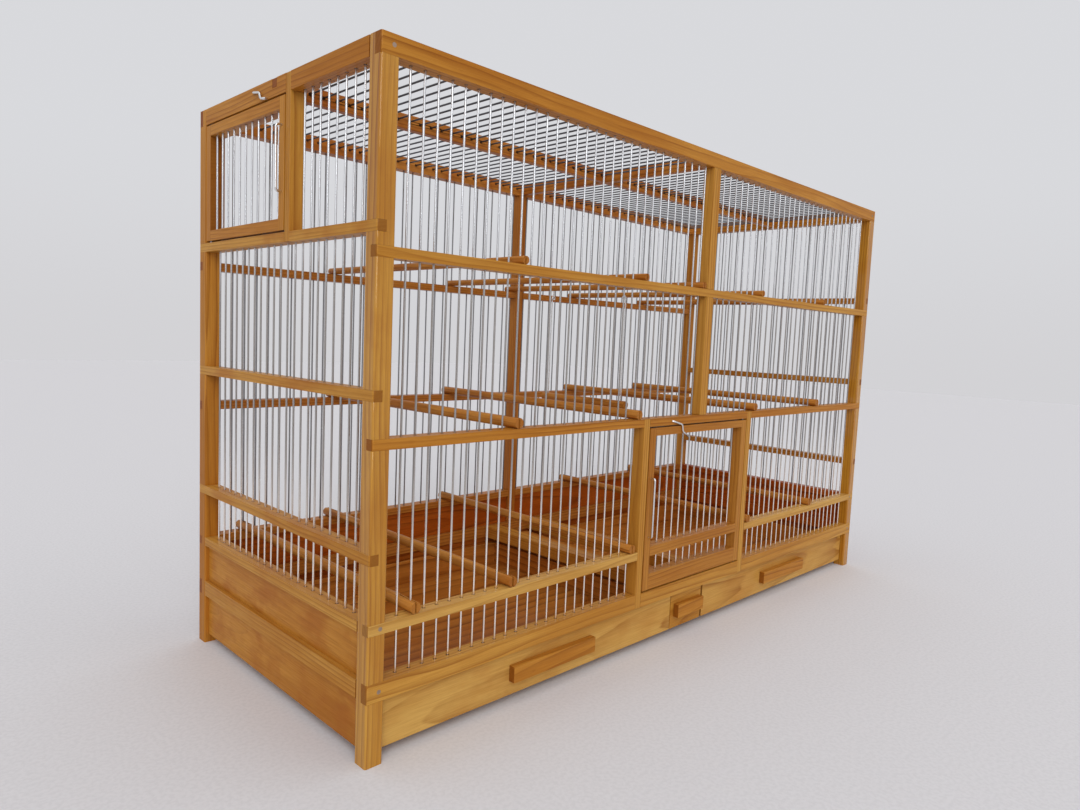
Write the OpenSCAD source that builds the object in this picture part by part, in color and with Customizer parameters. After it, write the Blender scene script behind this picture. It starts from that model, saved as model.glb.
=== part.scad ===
// Canary breeding cage: a wooden frame on four corner posts, barred with upright steel wires.
// It has a door in the front and one in the left end, two litter drawers with a narrow slide
// between them, round perches that clip on the wires, and a swing.
// Millimetres. The origin is on the floor under the middle of the frame: +X runs to the
// right along the cage, +Z is up, and the front faces -Y.

/* [Cage] */
// Length over the frame
cage_l = 1000; // [900:10:1200]
// Depth over the frame
cage_d = 375; // [320:5:450]
// Height from the floor to the top of the frame
cage_h = 625; // [600:5:700]
// Height of the drawers' space, from the floor to the bottom rails
base_h = 59; // [52:1:70]
// Height of the boarded strip over the bottom rails
skirt_h = 43.5; // [30:0.5:60]

/* [Wood frame] */
// Side of the square corner posts
post_w = 18; // [17:0.5:22]
// Rounding of the corner posts' long edges
post_round = 2; // [0.5:0.5:3]
// Height of the thin rails
rail_h = 9.7; // [9:0.1:12]
// Thickness of the rails, from their outer face inwards
rail_t = 16; // [15:0.5:17]
// Height of the top and bottom rails
beam_h = 17.5; // [14:0.5:22]
// Thickness of the half-lap tongues at the corners
lap_t = 9; // [7:0.5:11]
// Width of the middle posts
mid_post_w = 15; // [10:0.5:18]
// Height of the lowest end rail over the boarded strip
end_low_rise = 62.5; // [40:0.5:80]
// Thickness of the boards in the foot of the cage
board_t = 6; // [4:0.5:7]
// Set-back of those boards behind the rails' outer faces
board_inset = 5; // [3:0.5:6]
// Thickness of the tongues with which the door jambs cross the rails
jamb_lap_t = 6; // [4:0.5:7]
// Gap left at each face of a wood joint
joint_fit = 0.1; // [0.05:0.05:0.3]

/* [Wires] */
// Diameter of the wires
wire_d = 2; // [1.6:0.1:2.4]
// Distance between wires
wire_pitch = 15; // [13:0.5:18]
// Depth of the wires' centres behind the rails' outer faces
wire_inset = 9; // [8.5:0.1:10]
// Depth of the blind holes that hold the ends of the upright wires
wire_socket = 7; // [4:0.5:8]
// Radial clearance of the wires in their holes
wire_fit = 0.1; // [0.05:0.05:0.2]
// Depth of the roof wires' centres below the top of the frame
roof_drop = 8; // [7:0.5:8.5]
// Depth of the blind holes that hold the ends of the roof wires
roof_socket = 5; // [3:0.5:6]

/* [Front door] */
// Width of the front door
door_w = 222.6; // [180:0.1:260]
// Width of its stiles
door_stile_w = 11.5; // [10:0.5:16]
// Height of its top rail
door_top_h = 9.7; // [9:0.1:14]
// Height of its middle rail
door_mid_h = 12; // [9:0.5:16]
// Height of its bottom rail
door_bottom_h = 20; // [14:0.5:26]
// Height of the middle rail's underside over the door's bottom edge
door_mid_rise = 42.5; // [35:0.5:60]
// Width of the jambs beside the front door
front_jamb_w = 11; // [9:0.5:14]
// Gap between each door and what it closes against
door_gap = 2; // [1.6:0.1:3]

/* [End door] */
// Width of the end door
end_door_w = 189.5; // [160:0.5:200]
// Width of its stiles
end_stile_w = 11; // [9:0.5:14]
// Height of its top and bottom rails
end_door_rail_h = 11.5; // [9:0.5:14]
// Width of the jamb on the free side of the end door
end_jamb_w = 9.7; // [8:0.1:14]
// Depth of the end door's wires behind its outer face
end_door_wire_inset = 5; // [4:0.5:9]

/* [Door fittings] */
// Diameter of the hinge pins
pin_d = 2.4; // [2:0.1:2.6]
// Distance of a hinge pin's centre from the stile's front face and outer edge
pin_inset = 4; // [3.5:0.1:4.2]
// Depth of the pins in the stiles and in the rails
pin_socket = 7; // [5:0.5:8]
// Radial running clearance of pins and pivots in their holes
run_fit = 0.05; // [0.02:0.01:0.08]
// Diameter of the wire of the pulls
pull_d = 2.4; // [2:0.1:3]
// Length of the front door's pull between its legs
pull_span = 73; // [50:1:90]
// Height of the front pull's middle over the door's bottom edge
pull_rise = 104; // [70:1:130]
// Length of the end door's pull between its legs
end_pull_span = 63; // [40:1:80]
// Height of the end pull's middle over the door's bottom edge
end_pull_rise = 69; // [55:1:75]
// Distance of the pulls' grips from the wood, centre to face
pull_stand = 6; // [6:0.5:10]
// Bend radius of the pulls
pull_bend = 2.5; // [2:0.1:3]
// Depth of the pulls' legs in the wood
pull_leg = 7; // [5:0.5:10]
// Diameter of the latch wire
latch_d = 2.4; // [2:0.1:2.8]
// Depth of the latches' legs in the wood
latch_leg = 11; // [8:0.5:13]
// Gap between a latch and the wood behind it
latch_gap = 0.5; // [0.3:0.1:1]
// Spaces between wires from the cage's middle to the one over which the front latch turns
latch_bay = 4; // [2:1:5]
// Distance of the end latch's pivot behind the cage's middle
end_latch_y = 47; // [40:1:60]
// Distance of the end latch's pivot below the top of the frame
end_latch_drop = 5.5; // [5:0.5:9]

/* [Drawers] */
// Height of the drawer fronts' lower edge over the floor
drawer_lift = 10; // [6:0.5:14]
// Set-back of the drawer fronts behind the rails' outer faces
drawer_inset = 8; // [5:0.5:9]
// Thickness of the drawer fronts
drawer_front_t = 10; // [8:0.5:12]
// Gap round the drawers
drawer_gap = 1; // [0.5:0.1:2]
// Thickness of the trays' walls
tray_wall_t = 5; // [3:0.5:8]
// Thickness of the trays' floors and of the slide's boards
tray_floor_t = 3; // [2:0.5:4]
// Height of the bottom rails' underside over the trays' rims
rim_gap = 9; // [3:0.5:12]
// Distance of the trays' backs from the inner face of the back wall
tray_back_gap = 5; // [3:0.5:12]
// Width of the slide between the drawers
slide_w = 70; // [65:1:96]
// Gap at the slide's right side, wider than the others
slide_side_gap = 4; // [1:0.5:6]
// Width of the two bars that run from the front to the back over the slide's sides
slide_bar_w = 25; // [15:1:30]
// Distance between those bars
slide_bar_gap = 69; // [50:1:76]
// Distance of their middle to the right of the cage's middle
slide_bar_shift = 4.5; // [0:0.5:6]
// Thickness of the fixed floor under the drawers
floor_t = 4; // [3:0.5:6]
// Running gap under the trays and the slide
floor_gap = 0.3; // [0.3:0.1:0.8]
// Length of the drawer handles
handle_l = 128; // [80:1:160]
// Length of the slide's handle
slide_handle_l = 59; // [40:1:62]
// Height of the handles
handle_h = 17.5; // [12:0.5:22]
// Thickness of the handles
handle_t = 8; // [6:0.5:9]
// Distance of each drawer handle's middle from the cage's middle
handle_x = 259; // [200:1:300]

/* [Perches] */
// Diameter of the perches
perch_d = 11; // [10:0.5:14]
// Diameter of the upper perches, which are thinner
upper_perch_d = 8.5; // [8:0.5:12]
// Depth of the saw slits in the perches' ends
perch_slit = 27; // [20:1:40]
// Distance of the outer perches from the cage's middle, moved to the nearest wire
perch_x = 330; // [240:1:380]
// Gap between a perch and the rail that it rests on
perch_seat = 0.05; // [0.05:0.05:0.2]

/* [Swing] */
// Length of the swing's perch
swing_l = 162; // [150:1:200]
// Distance between the swing's hanging wires
swing_span = 143; // [110:1:146]
// Distance of the swing's middle behind the cage's middle
swing_y = 11; // [-20:1:20]
// Drop from the swing's pivot to the middle of its perch
swing_drop = 150; // [100:1:155]
// Diameter of the hanging wires and of the eyes' wire
swing_wire_d = 1.8; // [1.5:0.1:2.2]
// Clear width inside the eyes
eye_bore = 3.2; // [3:0.1:4]
// Length of the eyes' necks under the perch that they are screwed into
eye_neck = 7; // [4:0.5:9]
// Depth of the eyes' shanks in that perch
eye_shank = 5; // [3:0.5:7]
// Distance from each hanging wire to its eye
eye_step = 3; // [2.5:0.1:4]

/* [Nails] */
// Diameter of the nail heads
nail_head_d = 4; // [2.4:0.1:5]
// Thickness of the nail heads
nail_head_h = 0.8; // [0.5:0.1:1.2]
// Diameter of the nails' shanks
nail_d = 1.4; // [1.2:0.1:1.8]
// Length of the nails
nail_l = 15; // [12:0.5:16]
// Distance of the nails from the ends of the rails
nail_x = 12.5; // [6:0.5:13]

/* [Hidden] */
$fn = 32;
// Distance that cutters reach past the faces that they open
over = 1;

half_l = cage_l / 2;
half_d = cage_d / 2;
front_span = cage_l - 2 * post_w;
end_span = cage_d - 2 * post_w;
inner_half_d = half_d - rail_t;

// Heights of the rails' undersides
top_z = cage_h - beam_h;
foot_rail_top = base_h + beam_h;
skirt_top = foot_rail_top + skirt_h;
tier_h = (top_z - skirt_top) / 3;
end_low_z = skirt_top + end_low_rise;
end_tier_h = (top_z - end_low_z) / 3;
function rail_z(i) = skirt_top + i * tier_h;
function end_rail_z(i) = end_low_z + i * end_tier_h;
roof_z = cage_h - roof_drop;

// Ends of the upright wires in the rails' blind holes; those in the top rails stop short of
// the roof bar's notch
socket_floor = 1;
top_socket = min(wire_socket, beam_h - lap_t - socket_floor);
wires_top = top_z + top_socket;
wires_foot = foot_rail_top - wire_socket;
skirt_wires_foot = skirt_top + rail_h - wire_socket;

// Front door and jambs, measured along the wall from its middle
jamb_in = door_w / 2 + door_gap;
jamb_out = jamb_in + front_jamb_w;
door_z = foot_rail_top + door_gap;
door_h = rail_z(1) - door_gap - door_z;
pin_x = door_w / 2 - pin_inset;
pull_x = -door_w / 2 + door_stile_w / 2;
pull_z = door_z + pull_rise;

// End door and jamb, measured along the wall towards the front
end_door_x = -end_span / 2 + door_gap;
end_jamb_x = end_door_x + end_door_w + door_gap;
end_jamb_out = end_jamb_x + end_jamb_w;
end_door_z = end_rail_z(2) + rail_h + door_gap;
end_door_h = top_z - door_gap - end_door_z;
end_pin_x = end_door_x + pin_inset;
end_pull_x = end_door_x + end_door_w - end_stile_w / 2;
end_pull_z = end_door_z + end_pull_rise;

// Latches: each turns on a leg in the wood, sweeps down past the edge and ends in a finger tip.
// The bends are given from the pivot, along the wall and up
latch_y = -latch_d / 2 - latch_gap;
front_latch_x = -(latch_bay + 0.5) * wire_pitch;
front_latch_z = rail_z(1) + rail_h / 2;
front_latch_bends = [[19, -5], [21, -14], [34, -21]];
end_latch_z = cage_h - end_latch_drop;
end_latch_bends = [[17, -3], [20, -9.5], [32, -11.5]];
// A ball at each bend of a wire is this much fatter than the wire
bend_swell = 1.02;

// Places of the upright wires along a wall
function wall_places(half) =
  let (last = floor((half - post_w) / wire_pitch - 0.5))
  [for (i = [-last:last]) i * wire_pitch];
// Those that stand in an opening, clear of its edges
edge_room = 2 * wire_d;
function places_between(places, from, to) =
  [for (x = places) if (x > from + edge_room && x < to - edge_room) x];
long_places = [for (x = wall_places(half_l)) if (abs(x) > mid_post_w / 2 + wire_d) x];
side_places = [for (x = long_places) if (abs(x) > jamb_out + wire_d) x];
over_door_places = [for (x = long_places) if (abs(x) <= jamb_out + wire_d) x];
end_places = wall_places(half_d);
end_tall_places = [for (x = end_places) if (x > end_jamb_out + wire_d) x];
end_short_places = [for (x = end_places) if (x <= end_jamb_out + wire_d) x];
door_places =
  places_between(wall_places(half_l), -door_w / 2 + door_stile_w, door_w / 2 - door_stile_w);
end_door_places =
  places_between(end_places, end_door_x + end_stile_w, end_door_x + end_door_w - end_stile_w);

// Perches: each stands on a wire
function next_wire(x) = ceil(x / wire_pitch) * wire_pitch;
perch_ds = [perch_d, perch_d, upper_perch_d];
perch_out = round(perch_x / wire_pitch) * wire_pitch;
perch_in = next_wire(jamb_out + max(perch_ds) / 2);
perch_mid = -next_wire((mid_post_w + upper_perch_d) / 2);
perch_end = -(max(wall_places(half_l)) - wire_pitch);
function perch_foot(i) = rail_z(i) + rail_h + perch_seat;
function perch_z(i) = perch_foot(i) + perch_ds[i] / 2;
upper_perches = [-perch_out, -perch_in, perch_mid, perch_in, perch_out];
middle_perches = [-perch_out, -perch_in, perch_in, perch_out];
lower_perches = [perch_end, -perch_out, -perch_in, perch_in, perch_out];

// Swing, hung from the upper middle perch
eye_r = eye_bore / 2 + swing_wire_d / 2;
eye_z = perch_foot(2) - eye_neck - eye_r - swing_wire_d / 2;
eye_shank_l = perch_foot(2) + eye_shank - eye_z;
swing_z = eye_z - swing_drop;
function swing_wire_y(side) = swing_y + side * swing_span / 2;
function swing_eye_y(side) = swing_wire_y(side) - side * eye_step;

// Drawers
drawer_front_y = -half_d + drawer_inset;
drawer_back_y = drawer_front_y + drawer_front_t;
drawer_h = base_h - drawer_gap - drawer_lift;
tray_z = drawer_lift + floor_t + floor_gap;
tray_top = base_h - rim_gap;
tray_end_y = inner_half_d - tray_back_gap;
drawer_in = (drawer_gap + slide_w + slide_side_gap) / 2;
drawer_out = half_l - post_w - drawer_gap;
slide_x = drawer_gap - drawer_in;
slide_top = base_h - 2 * drawer_gap;
handle_z = drawer_lift + (drawer_h - handle_h) / 2;

// Colours
amber = "peru";
honey = "burlywood";
brown = "sienna";
steel = "silver";

// ---- Walls: X runs along the wall, Y inwards from the rails' outer faces ----

module on_front() translate([0, -half_d, 0]) children();

module on_back() rotate([0, 0, 180]) on_front() children();

module on_left() rotate([0, 0, -90]) translate([0, -half_l, 0]) children();

module on_right() rotate([0, 0, 90]) translate([0, -half_l, 0]) children();

module both_sides() {
  children();
  mirror([1, 0, 0]) children();
}

// ---- Wood stock ----

// Bar with rounded upright edges, from the corner at the origin
module rounded_bar(width, depth, z, h, r) {
  translate([r, 0, z]) cube([width - 2 * r, depth, h]);
  translate([0, r, z]) cube([width, depth - 2 * r, h]);
  for (x = [r, width - r])
    for (y = [r, depth - r])
      translate([x, y, z]) cylinder(r = r, h = h);
}

// Tongue that runs the whole length, with its two outer corners rounded like the posts
module tongue(length, z, h) {
  translate([-length / 2 + post_round, 0, z])
    cube([length - 2 * post_round, lap_t, h]);
  translate([-length / 2, post_round, z]) cube([length, lap_t - post_round, h]);
  both_sides()
    translate([length / 2 - post_round, post_round, z]) cylinder(r = post_round, h = h);
}

// Rail between two posts, square at its ends
module plain_rail(span, z, h) {
  length = span - 2 * joint_fit;
  translate([-length / 2, 0, z]) cube([length, rail_t, h]);
}

// Rail whose outer half laps over the posts
module lapped_rail(length, z, h) {
  tongue(length, z, h);
  plain_rail(length - 2 * post_w, z, h);
}

// Room for a tongue in the post that it crosses, from the post's outer corner
module front_notch(z, h)
  translate([-over, -over, z - joint_fit])
    cube([post_w + 2 * over, lap_t + joint_fit + over, h + 2 * joint_fit]);

module end_notch(z, h)
  translate([-over, -over, z - joint_fit])
    cube([lap_t + joint_fit + over, post_w + 2 * over, h + 2 * joint_fit]);

// Corner post, with its outer corner at the origin
module corner_post() difference() {
  rounded_bar(post_w, post_w, 0, cage_h, post_round);
  front_notch(top_z, beam_h + over);
  front_notch(base_h, beam_h);
  for (i = [0:2]) {
    front_notch(rail_z(i), rail_h);
    end_notch(end_rail_z(i), rail_h);
  }
}

module placed_post(sx, sy) color(honey) difference() {
  translate([sx * half_l, sy * half_d, 0])
    mirror([sx > 0 ? 1 : 0, 0, 0]) mirror([0, sy > 0 ? 1 : 0, 0]) corner_post();
  nail_holes();
}

// ---- Wires and their holes, along a wall ----

module wires(places, z0, z1, inset = wire_inset)
  for (x = places) translate([x, inset, z0]) cylinder(d = wire_d, h = z1 - z0);

module wire_holes(places, z0, z1, inset = wire_inset)
  for (x = places) translate([x, inset, z0])
    cylinder(d = wire_d + 2 * wire_fit, h = z1 - z0);

// Hole right through a rail
module through_holes(places, z, h) wire_holes(places, z - over, z + h + over);

// Blind holes from below, from the underside at z
module holes_up(places, z, depth = wire_socket)
  wire_holes(places, z - over, z + depth + joint_fit);

// Blind holes from above, from the top at z
module holes_down(places, z) wire_holes(places, z - wire_socket - joint_fit, z + over);

// Blind holes from the inner face of a top rail
module roof_holes()
  for (x = long_places) translate([x, rail_t - roof_socket - joint_fit, roof_z])
    rotate([-90, 0, 0]) cylinder(d = wire_d + 2 * wire_fit, h = roof_socket + joint_fit + over);

// ---- Nails through the lap joints ----

module nail_places()
  for (wall = [0, 180]) rotate([0, 0, wall]) on_front()
    for (z = [top_z + beam_h / 2, skirt_top + rail_h / 2, base_h + beam_h / 2])
      both_sides() translate([half_l - nail_x, 0, z]) rotate([-90, 0, 0]) children();

module nail_holes() nail_places() {
  cylinder(d = nail_d + 2 * run_fit, h = nail_l + joint_fit);
  translate([0, 0, -over])
    cylinder(d = nail_head_d + 2 * run_fit, h = over + nail_head_h + joint_fit);
}

module nails() color(steel) nail_places() {
  cylinder(d = nail_d, h = nail_l);
  cylinder(d = nail_head_d, h = nail_head_h);
}

// ---- Front wall ----

// Notches for the front door's jambs
module jamb_notches(z, h) both_sides()
  translate([jamb_in - joint_fit, -over, z - over])
    cube([front_jamb_w + 2 * joint_fit, jamb_lap_t + joint_fit + over, h + 2 * over]);

// Hole for a hinge pin, round an upright axis
module pin_hole(x, z0, z1) translate([x, pin_inset, z0])
  cylinder(d = pin_d + 2 * run_fit, h = z1 - z0);

module front_top_rail() color(amber) difference() {
  on_front() lapped_rail(cage_l, top_z, beam_h);
  on_front() holes_up(long_places, top_z, top_socket);
  on_front() roof_holes();
  nail_holes();
}

// The middle post crosses behind it, so it is thinner there
module front_upper_rail() color(amber) on_front() difference() {
  lapped_rail(cage_l, rail_z(2), rail_h);
  through_holes(long_places, rail_z(2), rail_h);
  translate([-mid_post_w / 2 - joint_fit, lap_t, rail_z(2) - over])
    cube([mid_post_w + 2 * joint_fit, rail_t, rail_h + 2 * over]);
}

module front_middle_rail() color(amber) on_front() difference() {
  lapped_rail(cage_l, rail_z(1), rail_h);
  through_holes(side_places, rail_z(1), rail_h);
  holes_down(over_door_places, rail_z(1) + rail_h);
  jamb_notches(rail_z(1), rail_h);
  pin_hole(pin_x, rail_z(1) - over, rail_z(1) + pin_socket + joint_fit);
  latch_hole(front_latch_x, front_latch_z);
}

// One length on each side of the door
module front_low_rails() color(amber) difference() {
  on_front() lapped_rail(cage_l, skirt_top, rail_h);
  on_front() translate([-jamb_out - joint_fit, -over, skirt_top - over])
    cube([2 * (jamb_out + joint_fit), rail_t + 2 * over, rail_h + 2 * over]);
  on_front() through_holes(side_places, skirt_top, rail_h);
  nail_holes();
}

module front_bottom_rail() color(amber) difference() {
  on_front() lapped_rail(cage_l, base_h, beam_h);
  on_front() holes_down(side_places, foot_rail_top);
  on_front() jamb_notches(base_h, beam_h);
  on_front() pin_hole(pin_x, foot_rail_top - pin_socket - joint_fit, foot_rail_top + over);
  nail_holes();
}

module front_mid_post() color(honey) on_front() difference() {
  translate([-mid_post_w / 2, 0, rail_z(1) + rail_h + joint_fit])
    cube([mid_post_w, rail_t, top_z - rail_z(1) - rail_h - 2 * joint_fit]);
  translate([-mid_post_w, -over, rail_z(2) - joint_fit])
    cube([2 * mid_post_w, lap_t + joint_fit + over, rail_h + 2 * joint_fit]);
}

module front_jambs() color(honey) on_front() both_sides() {
  translate([jamb_in, 0, foot_rail_top + joint_fit])
    cube([front_jamb_w, rail_t, rail_z(1) - foot_rail_top - 2 * joint_fit]);
  translate([jamb_in, 0, base_h])
    cube([front_jamb_w, jamb_lap_t, rail_z(1) + rail_h - base_h]);
}

module front_wires_left() color(steel) on_front()
  wires([for (x = side_places) if (x < 0) x], wires_foot, wires_top);

module front_wires_right() color(steel) on_front()
  wires([for (x = side_places) if (x > 0) x], wires_foot, wires_top);

module front_wires_over_door() color(steel) on_front()
  wires(over_door_places, rail_z(1) + rail_h - wire_socket, wires_top);

// ---- Back wall ----

module back_top_rail() color(amber) difference() {
  on_back() lapped_rail(cage_l, top_z, beam_h);
  on_back() holes_up(long_places, top_z, top_socket);
  on_back() roof_holes();
  nail_holes();
}

// Three rails; the middle post crosses inside them
module back_lap_rails() color(brown) difference() {
  on_back() for (i = [0:2]) difference() {
    lapped_rail(cage_l, rail_z(i), rail_h);
    translate([-mid_post_w / 2 - joint_fit, lap_t, rail_z(i) - over])
      cube([mid_post_w + 2 * joint_fit, rail_t, rail_h + 2 * over]);
    if (i > 0) through_holes(long_places, rail_z(i), rail_h);
    if (i == 0) holes_down(long_places, rail_z(i) + rail_h);
  }
  nail_holes();
}

module back_bottom_rail() color(amber) difference() {
  on_back() lapped_rail(cage_l, base_h, beam_h);
  nail_holes();
}

module back_mid_post() color(brown) on_back() difference() {
  translate([-mid_post_w / 2, 0, foot_rail_top + joint_fit])
    cube([mid_post_w, rail_t, top_z - foot_rail_top - 2 * joint_fit]);
  for (i = [1, 2]) translate([-mid_post_w, -over, rail_z(i) - joint_fit])
    cube([2 * mid_post_w, lap_t + joint_fit + over, rail_h + 2 * joint_fit]);
  translate([-mid_post_w, -over, foot_rail_top])
    cube([2 * mid_post_w, board_inset + board_t + joint_fit + over,
      skirt_h + rail_h + joint_fit]);
}

module back_wires() color(steel) on_back()
  wires(long_places, skirt_wires_foot, wires_top);

// ---- Boards in the foot ----

// The board over the bottom rail and the one under it, along a wall
module foot_boards(span) {
  length = span - 2 * joint_fit;
  translate([-length / 2, board_inset, foot_rail_top + joint_fit])
    cube([length, board_t, skirt_h - 2 * joint_fit]);
  translate([-length / 2, board_inset, drawer_lift])
    cube([length, board_t, base_h - drawer_lift - joint_fit]);
}

module back_boards() color(brown) on_back() foot_boards(front_span);

module left_boards() color(brown) on_left() foot_boards(end_span);

module right_boards() color(brown) on_right() foot_boards(end_span);

// Fixed floor that the drawers run on, held between the end boards
module floor_board() color(brown) {
  length = cage_l - 2 * (board_inset + board_t + joint_fit);
  front_y = max(drawer_back_y + floor_gap, -half_d + post_w + joint_fit);
  translate([-length / 2, front_y, drawer_lift])
    cube([length, half_d - post_w - joint_fit - front_y, floor_t]);
}

// Bars level with the bottom rails, over the edges of the trays and of the slide
module slide_bars() color(amber) translate([slide_bar_shift, 0, 0]) both_sides()
  translate([slide_bar_gap / 2, -inner_half_d + joint_fit, base_h])
    cube([slide_bar_w, 2 * (inner_half_d - joint_fit), beam_h]);

// ---- Ends ----

// Notch for the end of the long roof bar
module roof_bar_notch() translate([-rail_h / 2 - joint_fit, -over, cage_h - lap_t - joint_fit])
  cube([rail_h + 2 * joint_fit, rail_t + 2 * over, lap_t + joint_fit + over]);

module end_jamb_notch(z, h) translate([end_jamb_x - joint_fit, -over, z - over])
  cube([end_jamb_w + 2 * joint_fit, jamb_lap_t + joint_fit + over, h + 2 * over]);

module left_top_rail() color(amber) on_left() difference() {
  plain_rail(end_span, top_z, beam_h);
  holes_up(end_tall_places, top_z, top_socket);
  roof_bar_notch();
  end_jamb_notch(top_z, beam_h);
  pin_hole(end_pin_x, top_z - over, top_z + pin_socket + joint_fit);
  latch_hole(-end_latch_y, end_latch_z);
}

module right_top_rail() color(amber) on_right() difference() {
  plain_rail(end_span, top_z, beam_h);
  holes_up(end_places, top_z, top_socket);
  roof_bar_notch();
}

// Three rails; the upper one is the end door's sill
module left_lap_rails() color(amber) on_left() {
  for (i = [0, 1]) difference() {
    lapped_rail(cage_d, end_rail_z(i), rail_h);
    through_holes(end_places, end_rail_z(i), rail_h);
  }
  difference() {
    lapped_rail(cage_d, end_rail_z(2), rail_h);
    through_holes(end_tall_places, end_rail_z(2), rail_h);
    holes_up(end_short_places, end_rail_z(2));
    end_jamb_notch(end_rail_z(2), rail_h);
    pin_hole(end_pin_x, end_door_z - door_gap - pin_socket - joint_fit, end_door_z);
  }
}

module right_lap_rails() color(amber) on_right()
  for (i = [0:2]) difference() {
    lapped_rail(cage_d, end_rail_z(i), rail_h);
    through_holes(end_places, end_rail_z(i), rail_h);
  }

// The rail on the upper board and the bottom rail of an end
module end_plain_rails() {
  difference() {
    plain_rail(end_span, skirt_top, rail_h);
    holes_down(end_places, skirt_top + rail_h);
  }
  plain_rail(end_span, base_h, beam_h);
}

module left_plain_rails() color(amber) on_left() end_plain_rails();

module right_plain_rails() color(amber) on_right() end_plain_rails();

module end_jamb() color(honey) on_left() {
  z = end_rail_z(2) + rail_h + joint_fit;
  translate([end_jamb_x, 0, z]) cube([end_jamb_w, rail_t, top_z - joint_fit - z]);
  translate([end_jamb_x, 0, end_rail_z(2)])
    cube([end_jamb_w, jamb_lap_t, cage_h - end_rail_z(2)]);
}

module left_wires_tall() color(steel) on_left()
  wires(end_tall_places, skirt_wires_foot, wires_top);

module left_wires_short() color(steel) on_left()
  wires(end_short_places, skirt_wires_foot, end_rail_z(2) + wire_socket);

module right_wires() color(steel) on_right()
  wires(end_places, skirt_wires_foot, wires_top);

// ---- Roof ----

// Bar along the middle of the roof, halved over the cross bar and lapped into the end rails
module roof_long_bar() color(amber) difference() {
  union() {
    translate([-half_l, -rail_h / 2, cage_h - lap_t]) cube([cage_l, rail_h, lap_t]);
    translate([-half_l + rail_t + joint_fit, -rail_h / 2, cage_h - rail_t])
      cube([cage_l - 2 * (rail_t + joint_fit), rail_h, rail_t]);
  }
  translate([-rail_h / 2 - joint_fit, -rail_h, cage_h - rail_t - over])
    cube([rail_h + 2 * joint_fit, 2 * rail_h, rail_t - lap_t + over]);
  for (x = long_places) translate([x, 0, roof_z])
    rotate([90, 0, 0]) cylinder(d = wire_d + 2 * wire_fit, h = 2 * rail_h, center = true);
}

module roof_cross_bar() color(amber) difference() {
  translate([-rail_h / 2, -inner_half_d + joint_fit, cage_h - rail_t])
    cube([rail_h, 2 * (inner_half_d - joint_fit), rail_t]);
  translate([-rail_h, -rail_h / 2 - joint_fit, cage_h - lap_t - joint_fit])
    cube([2 * rail_h, rail_h + 2 * joint_fit, lap_t + joint_fit + over]);
}

module roof_wires() color(steel) {
  length = 2 * (inner_half_d + roof_socket);
  for (x = long_places) translate([x, 0, roof_z])
    rotate([90, 0, 0]) cylinder(d = wire_d, h = length, center = true);
}

// ---- Doors, along a wall ----

// Rail of a door, between its stiles
module door_rail(x, width, stile_w, z, h)
  translate([x + stile_w + joint_fit, 0, z])
    cube([width - 2 * (stile_w + joint_fit), rail_t, h]);

module door_stiles(x, width, stile_w, z, h)
  for (edge = [x, x + width - stile_w]) translate([edge, 0, z]) cube([stile_w, rail_t, h]);

module front_door_frame() color(amber) on_front() difference() {
  union() {
    door_stiles(-door_w / 2, door_w, door_stile_w, door_z, door_h);
    door_rail(-door_w / 2, door_w, door_stile_w, door_z, door_bottom_h);
    door_rail(-door_w / 2, door_w, door_stile_w, door_z + door_mid_rise, door_mid_h);
    door_rail(-door_w / 2, door_w, door_stile_w, door_z + door_h - door_top_h, door_top_h);
  }
  wire_holes(door_places, door_z + door_bottom_h - wire_socket - joint_fit,
    door_z + door_h - door_top_h + wire_socket + joint_fit);
  pin_hole(pin_x, door_z - over, door_z + pin_socket + joint_fit);
  pin_hole(pin_x, door_z + door_h - pin_socket - joint_fit, door_z + door_h + over);
  pull_holes(pull_x, pull_z, pull_span);
}

module front_door_wires() color(steel) on_front()
  wires(door_places, door_z + door_bottom_h - wire_socket,
    door_z + door_h - door_top_h + wire_socket);

module front_door_pull() color(steel) on_front() pull(pull_x, pull_z, pull_span);

module end_door_frame() color(amber) on_left() difference() {
  union() {
    door_stiles(end_door_x, end_door_w, end_stile_w, end_door_z, end_door_h);
    for (z = [end_door_z, end_door_z + end_door_h - end_door_rail_h])
      door_rail(end_door_x, end_door_w, end_stile_w, z, end_door_rail_h);
  }
  wire_holes(end_door_places, end_door_z + end_door_rail_h - wire_socket - joint_fit,
    end_door_z + end_door_h - end_door_rail_h + wire_socket + joint_fit,
    end_door_wire_inset);
  pin_hole(end_pin_x, end_door_z - over, end_door_z + pin_socket + joint_fit);
  pin_hole(end_pin_x, end_door_z + end_door_h - pin_socket - joint_fit,
    end_door_z + end_door_h + over);
  pull_holes(end_pull_x, end_pull_z, end_pull_span);
}

module end_door_wires() color(steel) on_left()
  wires(end_door_places, end_door_z + end_door_rail_h - wire_socket,
    end_door_z + end_door_h - end_door_rail_h + wire_socket, end_door_wire_inset);

module end_door_pull() color(steel) on_left() pull(end_pull_x, end_pull_z, end_pull_span);

// Pins in the rails over and under the doors' hinge stiles
module hinge_pins() color(steel) {
  on_front() pin_pair(pin_x, door_z, door_h);
  on_left() pin_pair(end_pin_x, end_door_z, end_door_h);
}

module pin_pair(x, z, h)
  for (end_z = [z - door_gap - pin_socket, z + h - pin_socket])
    translate([x, pin_inset, end_z]) cylinder(d = pin_d, h = 2 * pin_socket + door_gap);

// ---- Pulls and latches of bent wire, in front of a wall ----

// Holes for a pull's legs
module pull_holes(x, z, span) for (side = [-1, 1])
  translate([x, -over, z + side * span / 2]) rotate([-90, 0, 0])
    cylinder(d = pull_d + 2 * run_fit, h = pull_leg + over + joint_fit);

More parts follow.
